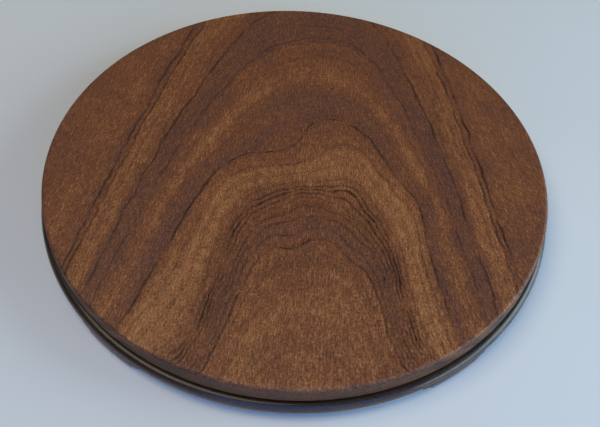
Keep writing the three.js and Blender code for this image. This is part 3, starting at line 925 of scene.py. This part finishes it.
class TURNTABLE_OT_wood_screws(bpy.types.Operator):
    """Drives the screws of the feet, the lower plate and the upper plate"""

    bl_idname = "turntable.wood_screws"
    bl_label = "Screws"

    def execute(self, context):
        kinds = (
            ("foot_screw_", "base", dict(head=3.15, head_depth=1.7, shank=1.5)),
            ("lower_plate_screw_", "base", dict(head=3.75, head_depth=1.8, shank=2, pitch=0.7)),
            ("upper_plate_screw_", "turntable", dict(head=3.35, head_depth=1.9, shank=1.6, pan=True)),
        )
        turn_between = 0.9
        for start, body, shape in kinds:
            for k, node in enumerate(nodes_named(start)):
                low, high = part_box(node)
                place = centre_of(node)
                vertices, faces = screw_shell(length=(high.z - low.z) / MM, **shape)
                shell = moved((vertices * MM, faces), turn_between * k, (place.x, place.y, low.z))
                screw = object_of(f"driven_{node}", shell, sharp=30)
                finish_piece(screw, shared_material("screw"), body, [node])
        return {"FINISHED"}


class TURNTABLE_OT_nuts(bpy.types.Operator):
    """Makes the chamfered hexagon nuts on the lower plate's screws"""

    bl_idname = "turntable.nuts"
    bl_label = "Nuts"

    def execute(self, context):
        for node in nodes_named("lower_plate_nut_"):
            low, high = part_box(node)
            place = centre_of(node)
            shell = moved(nut_shell((high.x - low.x) / 2, high.z - low.z), 0, (place.x, place.y, low.z))
            nut = object_of(f"hex_{node}", shell, sharp=25)
            finish_piece(nut, shared_material("screw"), "base", [node])
        return {"FINISHED"}


def nut_shell(corner, height, bore=2.1 * MM):
    """A hexagon nut: at each angle its side stands at apothem / cos(angle from the middle of that flat), and
    near both faces it stands no further out than a cone, which leaves the curved chamfers."""
    cone_share, cone_slope, bevel = 0.985, 1.7, 0.2 * MM
    a = full_turn(96)
    apothem = corner * cos(pi / 6)
    hexagon = apothem / np.cos((a % (pi / 3)) - pi / 6)
    rows = []
    for z in np.linspace(0, height, 13):
        cone = cone_share * apothem + cone_slope * min(z, height - z)
        rows.append((np.minimum(hexagon, cone), z))
    hole = ((bore + bevel, height), (bore, height - bevel), (bore, bevel), (bore + bevel, 0))
    rows += [(np.full(len(a), r), z) for r, z in hole]
    return stacked_rings(rows, a)


# A race plate: half its width, its corners' radius, the rise of its shoulders, how far past the race they
# end and reach the flat, the groove's room round a ball, the radius of its bends and its edges' rounding.
PLATE_HALF, PLATE_CORNER = 51 * MM, 10 * MM
SHOULDER_RISE, SHOULDER_END, SLOPE_END = 1.8 * MM, 4.5 * MM, 7.5 * MM
GROOVE_ROOM, PLATE_BEND, PLATE_EDGE = 0.25 * MM, 1.6 * MM, 0.2 * MM
# How near the outline the rounding of the plate's edge starts, as a share of the way out from the slope.
EDGE_START = 1 - 0.004


def plate_outline(a):
    """The radius of a rounded square at the angles a: half / cos a on a side and, round a corner, the far
    crossing of the ray at angle a with the corner's circle."""
    big = np.maximum(abs(np.cos(a)), abs(np.sin(a)))
    small = np.minimum(abs(np.cos(a)), abs(np.sin(a)))
    inset = PLATE_HALF - PLATE_CORNER
    total = inset * (big + small)
    round_part = total + np.sqrt(np.maximum(total ** 2 - 2 * inset ** 2 + PLATE_CORNER ** 2, 0))
    return np.where(PLATE_HALF * small / big <= inset, PLATE_HALF / big, round_part)


def plate_shell(bore, ball_height, ball_radius):
    """A stamped plate that lies flat at height 0, with its shoulders and ball groove pressed up out of it.

    A section runs out along the underside and back along the upper side: flat bore lip, an arc round the
    ball's centre, the shoulder, a slope, and the flat. Inside the slope a point's radius is the section's,
    and on the flat it goes over to the plate's outline.
    """
    gauge, race = settings().bearing.plate_gauge, settings().bearing.race_radius
    rise, bend, edge = SHOULDER_RISE, PLATE_BEND, PLATE_EDGE
    groove = ball_radius + GROOVE_ROOM
    back = groove + gauge
    start, end = race + SHOULDER_END, race + SLOPE_END
    opening = float(np.degrees(np.arccos((ball_height - rise - gauge) / groove)))
    outside = float(np.degrees(np.arccos((ball_height - rise) / back)))
    under = np.vstack([
        [(bore + edge, rise)],
        arc((race, ball_height), back, -90 - outside, -90 + outside, 16),
        arc((start - 0.6 * MM, rise - bend), bend, 84, 60, 3),
        [(end, 0)],
    ])
    over = np.vstack([
        [(end + 0.4 * MM, gauge)],
        arc((start - 0.3 * MM, rise + gauge - bend), bend, 60, 84, 3),
        arc((race, ball_height), groove, -90 + opening, -90 - opening, 16),
        [(bore + edge, rise + gauge), (bore, rise + gauge - edge), (bore, rise + edge)],
    ])
    share = np.linspace(0, 1, 9)[1:]
    flat_under = [(s, 0.0) for s in share[:-1]] + [(EDGE_START, 0.0), (1.0, edge)]
    flat_over = [(1.0, gauge - edge), (EDGE_START, gauge)] + [(s, gauge) for s in share[-2::-1]]
    a = full_turn(288)
    outline = plate_outline(a)
    rows = [(np.full(len(a), r), z) for r, z in under]
    rows += [(end + s * (outline - end), z) for s, z in flat_under + flat_over]
    rows += [(np.full(len(a), r), z) for r, z in over]
    return stacked_rings(rows, a)


def plate_cutters(turn):
    """Cutters for the four screw holes of a plate, turned about the axis."""
    radius, low, high = 2.3, -3, 30
    distance = settings().bearing.hole_offset * sqrt(2)
    hole = round_shell([(0, low), (radius, low), (radius, high), (0, high)], sides=40)
    spots = [turn + pi / 4 + k * pi / 2 for k in range(4)]
    return [moved(hole, 0, (distance * cos(a), distance * sin(a), 0)) for a in spots]


class TURNTABLE_OT_race_plates(bpy.types.Operator):
    """Stamps the two square plates with their ball grooves"""

    bl_idname = "turntable.race_plates"
    bl_label = "Race plates"

    def execute(self, context):
        ball_low, ball_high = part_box("ball_01")
        radius, height = (ball_high.z - ball_low.z) / 2, centre_of("ball_01").z
        bed, ceiling = BEARING_BED, BEARING_CEILING
        bores = {"lower": 22 * MM, "upper": 26 * MM}
        for side, body, turn in (("lower", "base", 0), ("upper", "turntable", pi / 4)):
            drop = height - bed if side == "lower" else ceiling - height
            vertices, faces = plate_shell(bores[side], drop, radius)
            if side == "upper":
                vertices = vertices * (1, -1, -1)
            shell = moved((vertices, faces), turn, (0, 0, bed if side == "lower" else ceiling))
            plate = object_of(f"{side}_stamped_plate", shell, sharp=32)
            drill(plate, plate_cutters(turn), sharp=32)
            finish_piece(plate, shared_material("plate"), body, [f"{side}_race_plate"])
        return {"FINISHED"}


class TURNTABLE_OT_eyelet(bpy.types.Operator):
    """Rolls the eyelet that holds the two plates together"""

    bl_idname = "turntable.eyelet"
    bl_label = "Eyelet"

    def execute(self, context):
        low, high, flange = EYELET_LOW.z, EYELET_HIGH.z, EYELET_HIGH.x
        tube, wall, gauge, bend, ease = 21.7 * MM, 1 * MM, 0.7 * MM, 1.2 * MM, 0.3 * MM
        inner, lip = tube - wall, flange - gauge / 2
        section = np.vstack([
            arc((inner + bend, low + bend), bend, 180, 270, 6),
            stretch((inner + bend, low), (lip, low), 6)[1:],
            arc((lip, low + gauge / 2), gauge / 2, -90, 90, 6),
            stretch((lip, low + gauge), (tube + ease, low + gauge), 6)[1:],
            [(tube, low + gauge + ease), (tube, high - gauge - ease)],
            stretch((tube + ease, high - gauge), (lip, high - gauge), 6),
            arc((lip, high - gauge / 2), gauge / 2, -90, 90, 6),
            stretch((lip, high), (inner + bend, high), 6)[1:],
            arc((inner + bend, high - bend), bend, 90, 180, 6),
        ])
        eyelet = object_of("rolled_eyelet", turned(section, 192), sharp=50)
        finish_piece(eyelet, shared_material("plate"), "base", ["race_eyelet"])
        return {"FINISHED"}


class TURNTABLE_OT_ball_cage(bpy.types.Operator):
    """Moulds the nylon ring that spaces the balls"""

    bl_idname = "turntable.ball_cage"
    bl_label = "Ball cage"

    def execute(self, context):
        low, high, outer = CAGE_LOW.z, CAGE_HIGH.z, CAGE_HIGH.x
        inner, edge = 2 * settings().bearing.race_radius - outer, 0.18 * MM
        section = np.vstack([
            arc((inner + edge, low + edge), edge, 180, 270, 3),
            arc((outer - edge, low + edge), edge, -90, 0, 3),
            arc((outer - edge, high - edge), edge, 0, 90, 3),
            arc((inner + edge, high - edge), edge, 90, 180, 3),
        ])
        cage = object_of("moulded_ball_cage", turned(section, 240))
        radius, under, over = 2.68, 5, 25
        pocket = [(0, under), (radius, under), (radius, over), (0, over)]
        drill(cage, [round_shell(pocket, centre_of(ball).xy, 32) for ball in BALLS])
        finish_piece(cage, shared_material("nylon"), "ball_cage", ["ball_cage_ring"])
        return {"FINISHED"}


class TURNTABLE_OT_balls(bpy.types.Operator):
    """Grinds the balls of the race"""

    bl_idname = "turntable.balls"
    bl_label = "Balls"

    def execute(self, context):
        for node in BALLS:
            low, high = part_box(node)
            centre, radius = (low + high) / 2, (high.z - low.z) / 2
            shell = turned(arc((0, centre.z), radius, -90, 90, 20), 40, centre.xy)
            ball = object_of(f"ground_{node}", shell)
            finish_piece(ball, shared_material("ball"), "ball_cage", [node])
        return {"FINISHED"}


# ---- stage ----

# Each light: name, place in metres, size in metres, power in watts and colour.
LIGHTS = (
    ("window", (1.5, 0.1, 0.5), 1.2, 19, "#d6f1ff"),
    ("low_glow", (0.8, -0.5, 0.14), 0.5, 3.6, "#c4e4ff"),
    ("sky_fill", (0.1, -1.2, 0.5), 1.6, 12, "#68a4ff"),
    ("ceiling", (-0.6, -0.1, 1.7), 1.4, 14.5, "#fff0d2"),
)
# The colour and strength of the even light from all round.
SURROUNDINGS, SURROUNDINGS_STRENGTH = "#a9b7bb", 0.14
# The floor's thickness, and how far below the pads it lies so that the two don't flicker.
FLOOR_THICKNESS, FLOOR_DROP = 1 * MM, 0.02 * MM


def aim(place, target=(0, 0, 0)):
    """The matrix of a light or camera at a place that looks at a target."""
    look = (Vector(target) - Vector(place)).to_track_quat("-Z", "Y")
    return Matrix.Translation(Vector(place)) @ look.to_matrix().to_4x4()


class TURNTABLE_OT_stage(bpy.types.Operator):
    """Sets the camera, the pale floor, the soft lights and the even surroundings"""

    bl_idname = "turntable.stage"
    bl_label = "Stage"

    def execute(self, context):
        stage = settings().stage
        scene = context.scene
        camera = bpy.data.objects.new("camera", bpy.data.cameras.new("camera"))
        scene.collection.objects.link(camera)
        camera.data.sensor_width = 36
        camera.data.lens = stage.lens
        camera.data.clip_start = 0.01
        back = Matrix.Translation((0, 0, stage.distance))
        orbit = Matrix.Rotation(stage.azimuth, 4, "Z") @ Matrix.Rotation(pi / 2 - stage.elevation, 4, "X")
        turn = Matrix.Rotation(-stage.aim_right, 4, "Y") @ Matrix.Rotation(stage.aim_up, 4, "X")
        tilt = Matrix.Rotation(stage.roll, 4, "Z")
        middle = Matrix.Translation((0, 0, TOP_HIGH.z))
        camera.matrix_world = middle @ orbit @ back @ turn @ tilt
        scene.camera = camera

        top, bottom = -FLOOR_DROP, -FLOOR_THICKNESS - FLOOR_DROP
        profile = np.array([(0, bottom), (stage.floor_radius, bottom), (stage.floor_radius, top), (0, top)])
        floor = object_of("floor", turned(profile, 96))
        floor.data.materials.append(shared_material("floor"))

        for name, place, size, power, shade in LIGHTS:
            lamp = bpy.data.lights.new(name, "AREA")
            lamp.shape, lamp.size, lamp.energy, lamp.color = "DISK", size, power, colour(shade)
            light = bpy.data.objects.new(name, lamp)
            light.matrix_world = aim(place)
            light.visible_camera = False
            scene.collection.objects.link(light)

        world = bpy.data.worlds.new("surroundings")
        world.use_nodes = True
        even = world.node_tree.nodes["Background"]
        even.inputs["Color"].default_value = opaque(colour(SURROUNDINGS))
        even.inputs["Strength"].default_value = SURROUNDINGS_STRENGTH
        scene.world = world
        scene.view_settings.view_transform = "Standard"
        return {"FINISHED"}


class TURNTABLE_PT_panel(bpy.types.Panel):
    """Lists the steps that build the turntable and its settings"""

    bl_idname = "TURNTABLE_PT_panel"
    bl_label = "Lazy susan turntable"
    bl_space_type = "VIEW_3D"
    bl_region_type = "UI"
    bl_category = "Turntable"

    def draw(self, context):
        for group in ("wood", "bearing", "stage"):
            box = self.layout.box()
            values = getattr(context.scene.turntable, group)
            for name in values.__annotations__:
                box.prop(values, name)
        for step in STEPS:
            self.layout.operator(step.bl_idname)


STEPS = (
    TURNTABLE_OT_stage, TURNTABLE_OT_top_board, TURNTABLE_OT_base_board, TURNTABLE_OT_feet,
    TURNTABLE_OT_foot_pads, TURNTABLE_OT_wood_screws, TURNTABLE_OT_nuts, TURNTABLE_OT_race_plates,
    TURNTABLE_OT_eyelet, TURNTABLE_OT_ball_cage, TURNTABLE_OT_balls,
)
CLASSES = (WoodSettings, BearingSettings, StageSettings, TurntableSettings, *STEPS, TURNTABLE_PT_panel)


def register():
    for cls in CLASSES:
        bpy.utils.register_class(cls)
    bpy.types.Scene.turntable = PointerProperty(type=TurntableSettings)


def unregister():
    del bpy.types.Scene.turntable
    for cls in reversed(CLASSES):
        bpy.utils.unregister_class(cls)


def main():
    """Builds everything in order."""
    register()
    for step in STEPS:
        category, name = step.bl_idname.split(".")
        getattr(getattr(bpy.ops, category), name)()


if __name__ == "__main__":
    main()
